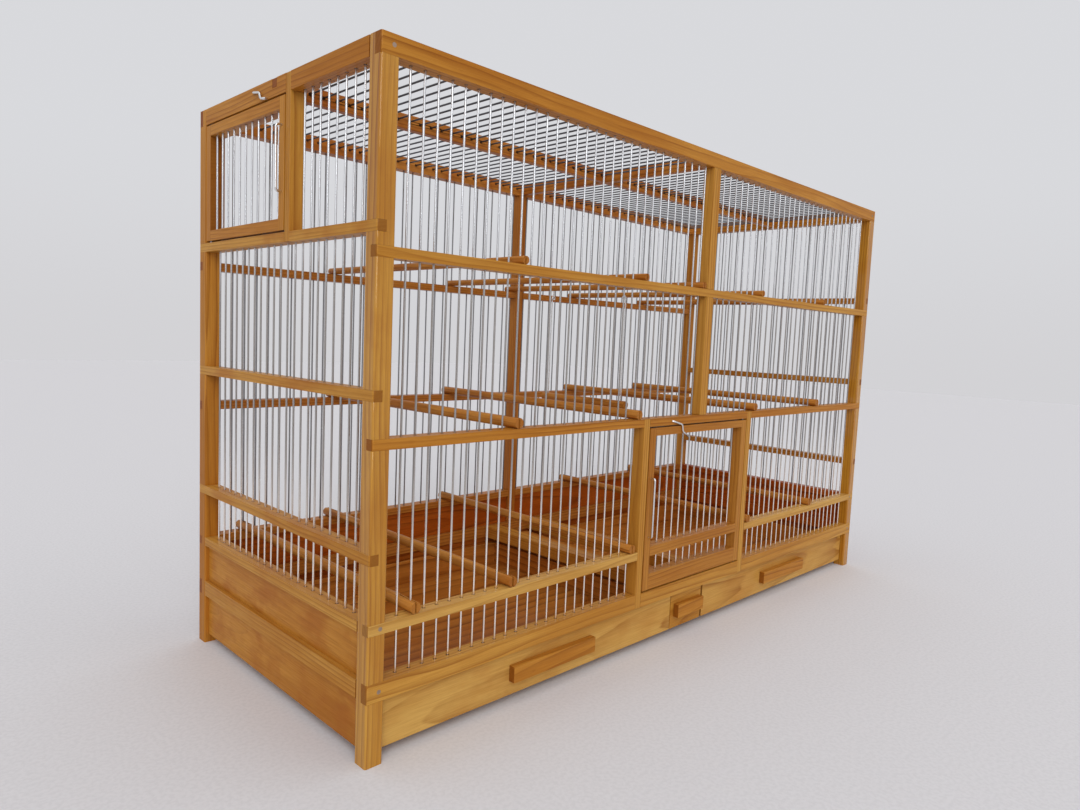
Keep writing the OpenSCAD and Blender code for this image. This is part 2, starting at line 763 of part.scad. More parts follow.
// Quarter bend from a leg to the grip, in the upper half of a pull
module pull_corner(span) translate([0, -pull_stand + pull_bend, span / 2 - pull_bend])
  rotate([0, -90, 0]) rotate([0, 0, -90])
    rotate_extrude(angle = 90) translate([pull_bend, 0]) circle(d = pull_d);

module pull(x, z, span) translate([x, 0, z]) {
  translate([0, -pull_stand, -span / 2 + pull_bend])
    cylinder(d = pull_d, h = span - 2 * pull_bend);
  for (turn = [0, 1]) mirror([0, 0, turn]) {
    pull_corner(span);
    translate([0, -pull_stand + pull_bend, span / 2]) rotate([-90, 0, 0])
      cylinder(d = pull_d, h = pull_stand - pull_bend + pull_leg);
  }
}

// Straight rod between two points
module rod(from, to, d) {
  way = to - from;
  length = norm(way);
  translate(from) rotate([0, acos(way.z / length), atan2(way.y, way.x)])
    cylinder(d = d, h = length);
}

// Bent wire from a flat end through a list of points to a round tip, with a ball a little
// fatter than the wire at each bend
module bent_wire(points, d) for (i = [1:len(points) - 1]) {
  rod(points[i - 1], points[i], d);
  translate(points[i]) sphere(d = d * bend_swell);
}

module latch_hole(x, z) translate([x, -over, z]) rotate([-90, 0, 0])
  cylinder(d = latch_d + 2 * run_fit, h = latch_leg + over + joint_fit);

module latch(x, z, bends) bent_wire([
    [x, latch_leg, z],
    [x, latch_y, z],
    for (bend = bends) [x + bend.x, latch_y, z + bend.y]
  ], latch_d);

module front_latch() color(steel) on_front()
  latch(front_latch_x, front_latch_z, front_latch_bends);

module end_latch() color(steel) on_left()
  latch(-end_latch_y, end_latch_z, end_latch_bends);

// ---- Drawers and the slide between them ----

module drawer_front(x0, x1) translate([x0, drawer_front_y, drawer_lift])
  cube([x1 - x0, drawer_front_t, drawer_h]);

// Floor, two sides and a back, each a board
module tray(x0, x1) {
  y0 = drawer_back_y + joint_fit;
  wall_z = tray_z + tray_floor_t + joint_fit;
  wall_h = tray_top - wall_z;
  side_l = tray_end_y - y0;
  translate([x0, y0, tray_z]) cube([x1 - x0, side_l, tray_floor_t]);
  for (x = [x0, x1 - tray_wall_t]) translate([x, y0, wall_z])
    cube([tray_wall_t, side_l, wall_h]);
  translate([x0 + tray_wall_t + joint_fit, tray_end_y - tray_wall_t, wall_z])
    cube([x1 - x0 - 2 * (tray_wall_t + joint_fit), tray_wall_t, wall_h]);
}

// Plain bar along a drawer front
module handle(x, length) translate([x - length / 2, drawer_front_y - handle_t, handle_z])
  cube([length, handle_t - joint_fit, handle_h]);

module left_drawer_front() color(amber) drawer_front(-drawer_out, -drawer_in);

module left_drawer_tray() color(brown) tray(-drawer_out, -drawer_in);

module left_drawer_handle() color(amber) handle(-handle_x, handle_l);

module right_drawer_front() color(amber) drawer_front(drawer_in, drawer_out);

module right_drawer_tray() color(brown) tray(drawer_in, drawer_out);

module right_drawer_handle() color(amber) handle(handle_x, handle_l);

module slide_front() color(amber) drawer_front(slide_x, slide_x + slide_w);

// A strip level with the trays' rims, on two boards that run on the floor
module slide_boards() color(brown) {
  y0 = drawer_back_y + joint_fit;
  length = tray_end_y - y0;
  strip_z = slide_top - tray_floor_t;
  translate([slide_x, y0, strip_z]) cube([slide_w, length, tray_floor_t]);
  for (x = [slide_x, slide_x + slide_w - tray_wall_t]) translate([x, y0, tray_z])
    cube([tray_wall_t, length, strip_z - joint_fit - tray_z]);
}

module slide_handle() color(amber) handle(0, slide_handle_l);

// ---- Perches and swing ----

// Round perch with a slit in each end, astride the wires of the front and the back
module perch(x, z, d) translate([x, 0, z]) difference() {
  rotate([90, 0, 0]) cylinder(d = d, h = cage_d, center = true);
  for (side = [-1, 1]) translate([0, side * (half_d - perch_slit / 2 + over), 0])
    cube([wire_d + 2 * wire_fit, perch_slit + 2 * over, d + 2 * over], center = true);
}

module perches() color(brown) difference() {
  union() {
    for (x = upper_perches) perch(x, perch_z(2), upper_perch_d);
    for (x = middle_perches) perch(x, perch_z(1), perch_d);
    for (x = lower_perches) perch(x, perch_z(0), perch_d);
  }
  for (side = [-1, 1]) translate([perch_mid, swing_eye_y(side), eye_z])
    cylinder(d = swing_wire_d + 2 * run_fit, h = eye_shank_l + joint_fit);
}

// Eyes screwed into the underside of the perch that carries the swing
module swing_eyes() color(steel)
  for (side = [-1, 1]) translate([perch_mid, swing_eye_y(side), eye_z]) {
    rotate([90, 0, 0]) rotate_extrude() translate([eye_r, 0]) circle(d = swing_wire_d);
    translate([0, 0, eye_r]) cylinder(d = swing_wire_d, h = eye_shank_l - eye_r);
  }

// Each hanging wire has a short arm through its eye and goes down into the perch
module swing_wires() color(steel)
  for (side = [-1, 1]) bent_wire([
      [perch_mid, swing_eye_y(side) - side * eye_step, eye_z],
      [perch_mid, swing_wire_y(side), eye_z],
      [perch_mid, swing_wire_y(side), swing_z]
    ], swing_wire_d);

module swing_perch() color(brown) difference() {
  translate([perch_mid, swing_y, swing_z]) rotate([90, 0, 0])
    cylinder(d = perch_d, h = swing_l, center = true);
  for (side = [-1, 1]) translate([perch_mid, swing_wire_y(side), swing_z - swing_wire_d])
    cylinder(d = swing_wire_d + 2 * wire_fit, h = perch_d);
}

// ---- Nodes ----

placed_post(-1, -1);  // front_left_post
placed_post(1, -1);  // front_right_post
placed_post(-1, 1);  // back_left_post
placed_post(1, 1);  // back_right_post
front_mid_post();
back_mid_post();
front_top_rail();
back_top_rail();
left_top_rail();
right_top_rail();
roof_long_bar();
roof_cross_bar();
front_upper_rail();
front_middle_rail();
front_low_rails();
front_bottom_rail();
back_lap_rails();
back_bottom_rail();
left_lap_rails();
left_plain_rails();
right_lap_rails();
right_plain_rails();
back_boards();
left_boards();
right_boards();
floor_board();
slide_bars();
front_jambs();
end_jamb();
front_wires_left();
front_wires_right();
front_wires_over_door();
back_wires();
left_wires_tall();
left_wires_short();
right_wires();
roof_wires();
front_door_frame();
front_door_wires();
front_door_pull();
end_door_frame();
end_door_wires();
end_door_pull();
hinge_pins();
front_latch();
end_latch();
left_drawer_front();
left_drawer_tray();
left_drawer_handle();
right_drawer_front();
right_drawer_tray();
right_drawer_handle();
slide_front();
slide_boards();
slide_handle();
perches();
swing_perch();
swing_wires();
swing_eyes();
nails();
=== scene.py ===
"""Looks of the canary breeding cage: lacquered wood with its grain, drawn steel wire,
smoothly bent latches, domed nail heads, a plain floor and soft light. Lengths are in metres."""

import math

import bmesh
import bpy
from mathutils import Matrix, Vector


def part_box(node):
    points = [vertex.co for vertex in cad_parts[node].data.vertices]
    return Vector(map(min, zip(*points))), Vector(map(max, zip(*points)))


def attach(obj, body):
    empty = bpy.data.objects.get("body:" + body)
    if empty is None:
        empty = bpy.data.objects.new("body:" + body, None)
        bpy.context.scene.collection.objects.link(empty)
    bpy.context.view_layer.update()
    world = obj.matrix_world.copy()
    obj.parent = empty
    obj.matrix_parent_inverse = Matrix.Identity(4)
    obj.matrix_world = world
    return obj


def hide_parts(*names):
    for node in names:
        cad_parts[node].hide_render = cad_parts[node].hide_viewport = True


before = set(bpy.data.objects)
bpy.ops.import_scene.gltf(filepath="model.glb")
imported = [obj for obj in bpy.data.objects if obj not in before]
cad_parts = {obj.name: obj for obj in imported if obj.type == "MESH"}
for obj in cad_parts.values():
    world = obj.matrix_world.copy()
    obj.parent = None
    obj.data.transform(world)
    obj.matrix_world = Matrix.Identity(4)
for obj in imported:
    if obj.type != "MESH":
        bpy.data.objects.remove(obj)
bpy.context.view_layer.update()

# ---- Sizes that the looks share with the solids ----

MM = 0.001
WIRE_PITCH = 15 * MM
WIRE_INSET = 9 * MM
LAST_WIRE = 31 * WIRE_PITCH
LAST_END_WIRE = 10 * WIRE_PITCH
RIM_IN = 1.1 * MM
RIM_OUT = 2.4 * MM
BEND_WIRE = 2.4 * MM

front_low, front_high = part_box("front_top_rail")
HALF_L = front_high.x
HALF_D = -front_low.y
ROOF_Z = sum(corner.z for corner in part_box("roof_wires")) / 2

# ---- Node helpers ----


def add(tree, kind, inputs=(), **settings):
    """A new shader node, with its settings and its inputs as values or links."""
    made = tree.nodes.new(kind)
    for key, value in settings.items():
        setattr(made, key, value)
    for key, value in dict(inputs).items():
        if isinstance(value, bpy.types.NodeSocket):
            tree.links.new(value, made.inputs[key])
        else:
            made.inputs[key].default_value = value
    return made


def calc(tree, operation, *values):
    return add(tree, "ShaderNodeMath", enumerate(values), operation=operation).outputs[0]


def spread(tree, value, low, high, to_low=0.0, to_high=1.0):
    """value, mapped smoothly from low..high to to_low..to_high."""
    made = add(tree, "ShaderNodeMapRange", {"Value": value, "From Min": low, "From Max": high,
        "To Min": to_low, "To Max": to_high}, interpolation_type="SMOOTHSTEP")
    return made.outputs[0]


def mixed(tree, factor, a, b, blend="MIX"):
    made = add(tree, "ShaderNodeMix", {"Factor": factor}, data_type="RGBA", blend_type=blend)
    for socket, value in ((made.inputs[6], a), (made.inputs[7], b)):
        if isinstance(value, bpy.types.NodeSocket):
            tree.links.new(value, socket)
        else:
            socket.default_value = (*value, 1)
    return made.outputs[2]


def noise(tree, vector, detail=2.0, roughness=0.5):
    return add(tree, "ShaderNodeTexNoise", {"Vector": vector, "Scale": 1.0, "Detail": detail,
        "Roughness": roughness}).outputs["Fac"]


def scaled(tree, vector, factors, offset=(0, 0, 0)):
    return add(tree, "ShaderNodeMapping", {"Vector": vector, "Scale": factors,
        "Location": offset}).outputs[0]


def new_material(name):
    material = bpy.data.materials.new(name)
    material.use_nodes = True
    tree = material.node_tree
    return material, tree, tree.nodes["Principled BSDF"]


# ---- Wood ----

GRAIN_ORDER = {"x": "XYZ", "y": "YXZ", "z": "ZXY"}
# What end grain and stains make of the colour of the wood
END_GRAIN = (0.50, 0.40, 0.40)
STAIN = (0.86, 0.70, 0.60)
# Noises of the figure: steps per metre along the grain and across it both ways
BEND_SCALE = (2.2, 11, 11)
RIPPLE_SCALE = (9, 60, 60)
STRENGTH_SCALE = (3, 90, 90)
FIBRE_SCALE = (22, 850, 850)
PATCH_SCALE = (3.5, 24, 24)
PORE_SCALE = (90, 2600, 2600)
CLOUD_SCALE = (18, 28, 28)
# Where a seed moves the noises to, per unit of seed
SEED_SHIFT = (1.0, 1.7, 0.6)
RING_SHARPNESS = 3.0
RING_END = 0.93
FIBRE_SHARE = 0.30
PORE_SHARE = 0.35
RIM_SHARE = 0.95
RIM_DARKNESS = 0.06
LATE_HEIGHT = -0.35
FIBRE_HEIGHT = 0.65
WOOD_BUMP = 0.12 * MM
WOOD_ROUGHNESS = (0.36, 0.52)
WOOD_SPECULAR = 0.06


def along_grain(tree, source, axis):
    """source with its parts put in the order along the grain, across and across."""
    parts = add(tree, "ShaderNodeSeparateXYZ", {0: source})
    return add(tree, "ShaderNodeCombineXYZ",
        enumerate(parts.outputs[letter] for letter in GRAIN_ORDER[axis])).outputs[0]


def grain_vectors(tree, grain):
    """Object coordinates and normal, along the grain. grain is an axis, or (axis, other axis,
    letter, middle, reach): within reach of middle on that letter the other axis holds."""
    source = add(tree, "ShaderNodeTexCoord")
    found = []
    for kind in ("Object", "Normal"):
        first = along_grain(tree, source.outputs[kind], grain[0])
        if len(grain) > 1:
            other = along_grain(tree, source.outputs[kind], grain[1])
            parts = add(tree, "ShaderNodeSeparateXYZ", {0: source.outputs["Object"]})
            away = calc(tree, "SUBTRACT", parts.outputs[grain[2].upper()], grain[3])
            inside = calc(tree, "LESS_THAN", calc(tree, "ABSOLUTE", away), grain[4])
            chosen = add(tree, "ShaderNodeMix", {"Factor": inside}, data_type="VECTOR")
            tree.links.new(first, chosen.inputs[4])
            tree.links.new(other, chosen.inputs[5])
            first = chosen.outputs[1]
        found.append(first)
    return found


def wire_rims(tree, rims):
    """1 close round the wires that go in, else 0. rims is (letter along the row of wires, its
    last wire, letter across, place of the wires on it), and then (letter, from, to) for each
    limit to where the holes have their mouths, on either side of the middle."""
    row, last, across, place = rims[:4]
    parts = add(tree, "ShaderNodeSeparateXYZ",
        {0: add(tree, "ShaderNodeTexCoord").outputs["Object"]})
    step = calc(tree, "DIVIDE", parts.outputs[row.upper()], WIRE_PITCH)
    off_row = calc(tree, "MULTIPLY",
        calc(tree, "SUBTRACT", step, calc(tree, "ROUND", step)), WIRE_PITCH)
    off_plane = calc(tree, "SUBTRACT",
        calc(tree, "ABSOLUTE", parts.outputs[across.upper()]), place)
    away = calc(tree, "SQRT", calc(tree, "ADD", calc(tree, "POWER", off_row, 2.0),
        calc(tree, "POWER", off_plane, 2.0)))
    shown = spread(tree, away, RIM_IN, RIM_OUT, 1.0, 0.0)
    for letter, low, high in ((row, -1.0, last + WIRE_PITCH / 2), *rims[4:]):
        reach = calc(tree, "ABSOLUTE", parts.outputs[letter.upper()])
        inside = calc(tree, "MULTIPLY",
            calc(tree, "GREATER_THAN", reach, low), calc(tree, "LESS_THAN", reach, high))
        shown = calc(tree, "MULTIPLY", shown, inside)
    return shown


def wood(name, tone, grain="x", pith=(0.0, 0.0), slope=0.0, ring=3.6 * MM, wave=5 * MM,
         contrast=0.95, mottle=0.0, end_share=0.8, coat=(0.10, 0.15), seed=0.0, rims=()):
    """Lacquered wood with growth rings round a pith line, fibres, pores, darker end grain and
    a dark rim where wires enter."""
    light, middle, dark = tone
    material, tree, shader = new_material(name)
    place, normal = grain_vectors(tree, grain if isinstance(grain, tuple) else (grain,))
    parts = add(tree, "ShaderNodeSeparateXYZ", {0: place})
    along = parts.outputs["X"]
    shift = tuple(seed * part for part in SEED_SHIFT)

    bend = noise(tree, scaled(tree, place, BEND_SCALE, shift), 2.0, 0.45)
    ripple = noise(tree, scaled(tree, place, RIPPLE_SCALE, shift), 2.0, 0.5)
    sway = calc(tree, "MULTIPLY_ADD", calc(tree, "SUBTRACT", bend, 0.5), wave * 4,
        calc(tree, "MULTIPLY", calc(tree, "SUBTRACT", ripple, 0.5), wave * 0.5))
    lean = calc(tree, "MULTIPLY", along, slope)
    side = calc(tree, "ADD", calc(tree, "SUBTRACT", parts.outputs["Y"], pith[0]), lean)
    up = calc(tree, "SUBTRACT", parts.outputs["Z"], pith[1])
    radius = calc(tree, "ADD", calc(tree, "SQRT", calc(tree, "ADD",
        calc(tree, "POWER", side, 2.0), calc(tree, "POWER", up, 2.0))), sway)
    ring_place = calc(tree, "FRACT", calc(tree, "DIVIDE", radius, ring))
    late = calc(tree, "POWER", ring_place, RING_SHARPNESS)
    soft_back = spread(tree, ring_place, RING_END, 1.0, 1.0, 0.0)
    late = calc(tree, "MULTIPLY", late, soft_back)

    strength = spread(tree, noise(tree, scaled(tree, place, STRENGTH_SCALE, shift)), 0.3, 0.7,
        0.25 * contrast, contrast)
    late = calc(tree, "MULTIPLY", late, strength)
    fibre = noise(tree, scaled(tree, place, FIBRE_SCALE, shift), 3.0, 0.6)
    patch = noise(tree, scaled(tree, place, PATCH_SCALE, shift), 3.0, 0.55)
    pores = spread(tree, noise(tree, scaled(tree, place, PORE_SCALE, shift), 1.0),
        0.66, 0.78)

    colour = mixed(tree, spread(tree, patch, 0.3, 0.7), middle, light)
    if mottle:
        cloud = noise(tree, scaled(tree, place, CLOUD_SCALE, shift), 3.0, 0.6)
        stain = [a * b for a, b in zip(middle, STAIN)]
        colour = mixed(tree, spread(tree, cloud, 0.42, 0.68, 0.0, mottle), colour, stain)
    colour = mixed(tree, late, colour, dark)
    colour = mixed(tree, spread(tree, fibre, 0.3, 0.75, 0.0, FIBRE_SHARE), colour, dark)
    colour = mixed(tree, calc(tree, "MULTIPLY", pores, PORE_SHARE), colour, dark)

    facing = add(tree, "ShaderNodeSeparateXYZ", {0: normal})
    end = spread(tree, calc(tree, "ABSOLUTE", facing.outputs["X"]), 0.6, 0.85)
    end_tone = [a * b for a, b in zip(middle, END_GRAIN)]
    colour = mixed(tree, calc(tree, "MULTIPLY", end, end_share), colour, end_tone)
    if rims:
        rim_tone = [RIM_DARKNESS * channel for channel in dark]
        rim = calc(tree, "MULTIPLY", wire_rims(tree, rims), RIM_SHARE)
        colour = mixed(tree, rim, colour, rim_tone)

    height = calc(tree, "MULTIPLY_ADD", late, LATE_HEIGHT,
        calc(tree, "MULTIPLY", fibre, FIBRE_HEIGHT))
    bump = add(tree, "ShaderNodeBump", {"Height": height, "Strength": 0.35,
        "Distance": WOOD_BUMP})
    rough = spread(tree, fibre, 0.25, 0.8, *WOOD_ROUGHNESS)
    for key, value in (("Base Color", colour), ("Normal", bump.outputs[0]), ("Roughness", rough)):
        tree.links.new(value, shader.inputs[key])
    shader.inputs["Specular IOR Level"].default_value = WOOD_SPECULAR
    shader.inputs["Coat Weight"].default_value = coat[0]
    shader.inputs["Coat Roughness"].default_value = coat[1]
    return material


HONEY = ((0.63, 0.325, 0.062), (0.50, 0.215, 0.029), (0.26, 0.078, 0.008))
GOLDEN = ((0.63, 0.32, 0.045), (0.49, 0.205, 0.014), (0.25, 0.070, 0.003))
AMBER = ((0.59, 0.265, 0.040), (0.46, 0.172, 0.019), (0.22, 0.058, 0.005))
PALE = ((0.68, 0.40, 0.105), (0.56, 0.28, 0.055), (0.30, 0.105, 0.013))
RUSSET = ((0.54, 0.135, 0.016), (0.41, 0.080, 0.007), (0.13, 0.022, 0.002))
SIENNA = ((0.60, 0.235, 0.040), (0.46, 0.146, 0.019), (0.15, 0.033, 0.003))
UMBER = ((0.57, 0.225, 0.040), (0.44, 0.142, 0.020), (0.17, 0.043, 0.005))
DOOR = ((0.54, 0.24, 0.042), (0.42, 0.155, 0.020), (0.20, 0.052, 0.005))
TURNED = ((0.62, 0.27, 0.050), (0.48, 0.175, 0.026), (0.19, 0.055, 0.006))

FRONT_STILE_W = 11.5 * MM
FRONT_DOOR_RAILS = (20 * MM, 9.7 * MM)
END_STILE_W = 11 * MM
END_DOOR_RAIL = 11.5 * MM
END_DOOR_WIRE_INSET = 5 * MM
RAIL_T = 16 * MM
TRAY_WALL = 5 * MM
# How far past the face with its hole a rim is drawn, and a limit past everything
SINK = 1 * MM
FAR = 9.0

door_low, door_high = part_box("front_door_frame")
end_door_low, end_door_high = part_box("end_door_frame")
jamb_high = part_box("front_jambs")[1]
foot_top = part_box("front_bottom_rail")[1].z
skirt_rail_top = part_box("left_plain_rails")[1].z

FRONT_RIMS = ("x", LAST_WIRE, "y", HALF_D - WIRE_INSET)
END_RIMS = ("y", LAST_END_WIRE, "x", HALF_L - WIRE_INSET)
ROOF_RIMS = ("x", LAST_WIRE, "z", ROOF_Z)
UNDER_TOP_RAIL = ("z", 0.0, front_low.z + SINK)
INSIDE_BACK_RAIL = ("y", 0.0, HALF_D - RAIL_T + SINK)
OVER_FOOT_RAIL = ("z", foot_top - SINK, FAR)
BESIDE_DOOR = ("x", jamb_high.x, FAR)
OVER_SKIRT_RAIL = ("z", skirt_rail_top - SINK, FAR)
IN_FRONT_DOOR = ("z", door_low.z + FRONT_DOOR_RAILS[0] - SINK,
    door_high.z - FRONT_DOOR_RAILS[1] + SINK)
IN_END_DOOR = ("z", end_door_low.z + END_DOOR_RAIL - SINK,
    end_door_high.z - END_DOOR_RAIL + SINK)
FRONT_DOOR_GRAIN = ("z", "x", "x", (door_low.x + door_high.x) / 2,
    (door_high.x - door_low.x) / 2 - FRONT_STILE_W)
END_DOOR_GRAIN = ("z", "y", "y", (end_door_low.y + end_door_high.y) / 2,
    (end_door_high.y - end_door_low.y) / 2 - END_STILE_W)


def tray_grain(node):
    """Grain from front to back in the sides of a tray, and along it in its floor and back."""
    low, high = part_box(node)
    return ("y", "x", "x", (low.x + high.x) / 2, (high.x - low.x) / 2 - TRAY_WALL)


# Weight and roughness of the coat on the front posts
POLISH = (0.7, 0.06)

# Each CAD node of wood: its tone, grain and what sets its figure apart
WOODS = {
    "front_left_post": (GOLDEN, dict(grain="z", pith=(-0.45, -0.21), ring=4.6 * MM, contrast=1.1,
        coat=POLISH, mottle=0.3, seed=1.0)),
    "front_right_post": (GOLDEN, dict(grain="z", pith=(0.52, -0.12), ring=4.2 * MM, contrast=1.1,
        coat=POLISH, mottle=0.3, seed=2.0)),
    "back_left_post": (AMBER, dict(grain="z", pith=(-0.53, 0.1), ring=4.4 * MM, seed=3.0)),
    "back_right_post": (AMBER, dict(grain="z", pith=(0.42, 0.2), ring=4.0 * MM, seed=4.0)),
    "front_mid_post": (HONEY, dict(grain="z", pith=(0.05, -0.22), ring=4.2 * MM, seed=5.0)),
    "back_mid_post": (UMBER, dict(grain="z", pith=(0.05, 0.1), ring=4.0 * MM, seed=6.0)),
    "front_top_rail": (AMBER, dict(pith=(-0.26, 0.58), ring=4.4 * MM, seed=7.0,
        rims=(*FRONT_RIMS, UNDER_TOP_RAIL))),
    "back_top_rail": (UMBER, dict(pith=(0.26, 0.58), mottle=0.7, seed=8.0,
        rims=(*ROOF_RIMS, INSIDE_BACK_RAIL))),
    "left_top_rail": (AMBER, dict(grain="y", pith=(-0.55, 0.56), seed=9.0,
        rims=(*END_RIMS, UNDER_TOP_RAIL))),
    "right_top_rail": (AMBER, dict(grain="y", pith=(0.57, 0.56), seed=10.0,
        rims=(*END_RIMS, UNDER_TOP_RAIL))),
    "roof_long_bar": (UMBER, dict(pith=(0.05, 0.68), mottle=0.7, seed=11.0, rims=ROOF_RIMS)),
    "roof_cross_bar": (UMBER, dict(grain="y", pith=(0.06, 0.66), mottle=0.7, seed=12.0)),
    "front_upper_rail": (HONEY, dict(pith=(-0.12, 0.40), seed=13.0, rims=FRONT_RIMS)),
    "front_middle_rail": (AMBER, dict(pith=(-0.14, 0.24), seed=14.0, rims=FRONT_RIMS)),
    "front_low_rails": (PALE, dict(pith=(-0.15, 0.10), slope=0.03, ring=5 * MM, seed=15.0,
        rims=FRONT_RIMS)),
    "front_bottom_rail": (HONEY, dict(pith=(-0.10, 0.12), ring=4.6 * MM, seed=16.0,
        rims=(*FRONT_RIMS, OVER_FOOT_RAIL, BESIDE_DOOR))),
    "back_lap_rails": (UMBER, dict(pith=(0.1, 0.0), seed=17.0,
        rims=(*FRONT_RIMS, OVER_SKIRT_RAIL))),
    "back_bottom_rail": (UMBER, dict(pith=(0.1, 0.0), seed=18.0)),
    "left_lap_rails": (HONEY, dict(grain="y", pith=(-0.4, 0.05), mottle=0.6, seed=19.0,
        rims=END_RIMS)),
    "left_plain_rails": (HONEY, dict(grain="y", pith=(-0.45, 0.0), mottle=0.4, seed=20.0,
        rims=(*END_RIMS, OVER_SKIRT_RAIL))),
    "right_lap_rails": (AMBER, dict(grain="y", pith=(0.4, 0.05), seed=21.0, rims=END_RIMS)),
    # The right end's plain rails are made dark red-brown as painted shade of that end's inside
    "right_plain_rails": (RUSSET, dict(grain="y", pith=(0.45, 0.0), mottle=0.8, seed=22.0,
        rims=(*END_RIMS, OVER_SKIRT_RAIL))),
    "back_boards": (RUSSET, dict(pith=(0.15, 0.09), slope=0.05, ring=7 * MM, seed=23.0)),
    "left_boards": (AMBER, dict(grain="y", pith=(-0.46, 0.05), slope=0.08, ring=7 * MM,
        wave=7 * MM, contrast=0.28, mottle=0.65, seed=24.0)),
    # The right boards are made dark red-brown as painted shade of that end's inside
    "right_boards": (RUSSET, dict(grain="y", pith=(0.46, 0.05), slope=0.08, ring=7 * MM,
        mottle=0.8, seed=25.0)),
    "floor_board": (SIENNA, dict(pith=(0.0, -0.2), ring=9 * MM, seed=26.0)),
    "slide_bars": (AMBER, dict(grain="y", pith=(0.01, 0.25), seed=42.0)),
    "front_jambs": (HONEY, dict(grain="z", pith=(0.2, -0.25), ring=4.2 * MM, seed=27.0)),
    "end_jamb": (HONEY, dict(grain="z", pith=(-0.45, 0.1), ring=4.2 * MM, seed=28.0)),
    "front_door_frame": (DOOR, dict(grain=FRONT_DOOR_GRAIN, pith=(0.03, -0.25),
        ring=4.2 * MM, seed=29.0, rims=(*FRONT_RIMS, IN_FRONT_DOOR))),
    "end_door_frame": (AMBER, dict(grain=END_DOOR_GRAIN, pith=(-0.45, 0.1), ring=4.2 * MM,
        seed=30.0,
        rims=("y", LAST_END_WIRE, "x", HALF_L - END_DOOR_WIRE_INSET, IN_END_DOOR))),
    "left_drawer_front": (PALE, dict(pith=(-0.135, 0.028), slope=0.05, ring=7.5 * MM,
        wave=8 * MM, contrast=1.0, mottle=0.35, seed=31.0)),
    "right_drawer_front": (PALE, dict(pith=(-0.14, 0.035), slope=-0.04, ring=7 * MM,
        wave=8 * MM, contrast=1.0, mottle=0.35, seed=32.0)),
    "slide_front": (HONEY, dict(pith=(-0.14, 0.01), slope=0.05, ring=6 * MM, seed=33.0)),
    "left_drawer_handle": (AMBER, dict(pith=(-0.16, 0.02), slope=0.06, ring=6 * MM, seed=34.0)),
    "right_drawer_handle": (AMBER, dict(pith=(-0.16, 0.05), slope=0.05, ring=6 * MM, seed=35.0)),
    "slide_handle": (AMBER, dict(pith=(-0.16, 0.02), slope=0.08, ring=6 * MM, seed=36.0)),
    "left_drawer_tray": (SIENNA, dict(grain=tray_grain("left_drawer_tray"),
        pith=(0.05, -0.08), slope=0.05, ring=11 * MM, wave=9 * MM, seed=37.0)),
    "right_drawer_tray": (SIENNA, dict(grain=tray_grain("right_drawer_tray"),
        pith=(0.0, -0.09), slope=0.05, ring=11 * MM, wave=9 * MM, seed=38.0)),
    "slide_boards": (SIENNA, dict(grain="y", pith=(0.0, 0.0), slope=0.03, ring=7 * MM,
        seed=39.0)),
    "perches": (TURNED, dict(grain="y", pith=(0.02, 0.0), ring=3.4 * MM, mottle=0.5,
        end_share=0.35, seed=40.0)),
    "swing_perch": (TURNED, dict(grain="y", pith=(0.02, 0.27), ring=3.4 * MM, mottle=0.5,
        end_share=0.35, seed=41.0)),
}

ARRIS = 0.6 * MM
ARRIS_SEGMENTS = 2
NAIL_DOME = 0.6 * MM
PERCH_ROUND = 1.4 * MM
ROUND_SEGMENTS = 3
ARRIS_ANGLE = math.radians(40)
WELD = 0.005 * MM


def soften_edges(piece, width=ARRIS, segments=ARRIS_SEGMENTS):
    """Takes the sharpness off the edges of a piece."""
    weld = piece.modifiers.new("weld", "WELD")
    weld.merge_threshold = WELD
    arris = piece.modifiers.new("arris", "BEVEL")
    arris.width = width
    arris.segments = segments
    arris.limit_method = "ANGLE"
    arris.angle_limit = ARRIS_ANGLE
    arris.harden_normals = False


def dress(piece, material):
    piece.data.materials.clear()
    piece.data.materials.append(material)


for node_name, (tone, look) in WOODS.items():
    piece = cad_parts[node_name]
    dress(piece, wood(node_name + "_wood", tone, **look))
    if "perch" in node_name:
        soften_edges(piece, PERCH_ROUND, ROUND_SEGMENTS)
    else:
        soften_edges(piece)

# ---- Steel ----

STREAK_SCALE = (400, 400, 30)
STREAK_TONE = (0.6, 0.6, 0.6)
STREAK_SHARE = 0.4
STREAK_BUMP = 0.03 * MM


def steel(name, colour, roughness, grain=STREAK_SCALE, painted_reflection_bands=()):
    """Drawn steel wire: bright metal with fine dull streaks along it. The colours that it goes to
    on its way up, each with the heights between which it does, are painted reflection and painted
    shade."""
    material, tree, shader = new_material(name)
    place = add(tree, "ShaderNodeTexCoord").outputs["Object"]
    streak = noise(tree, scaled(tree, place, grain), 1.0, 0.5)
    base = colour
    height = add(tree, "ShaderNodeSeparateXYZ", {0: place}).outputs["Z"]
    # Painted reflection and painted shade, changing with height
    for next_colour, low, high in painted_reflection_bands:
        base = mixed(tree, spread(tree, height, low, high), base, next_colour)
    tint = mixed(tree, spread(tree, streak, 0.35, 0.75, 0.0, STREAK_SHARE), base, STREAK_TONE,
        "MULTIPLY")
    rough = spread(tree, streak, 0.25, 0.8, roughness - 0.08, roughness + 0.12)
    bump = add(tree, "ShaderNodeBump", {"Height": streak, "Strength": 0.1,
        "Distance": STREAK_BUMP})
    for key, value in (("Base Color", tint), ("Normal", bump.outputs[0]), ("Roughness", rough)):
        tree.links.new(value, shader.inputs[key])
    shader.inputs["Metallic"].default_value = 1.0
    return material
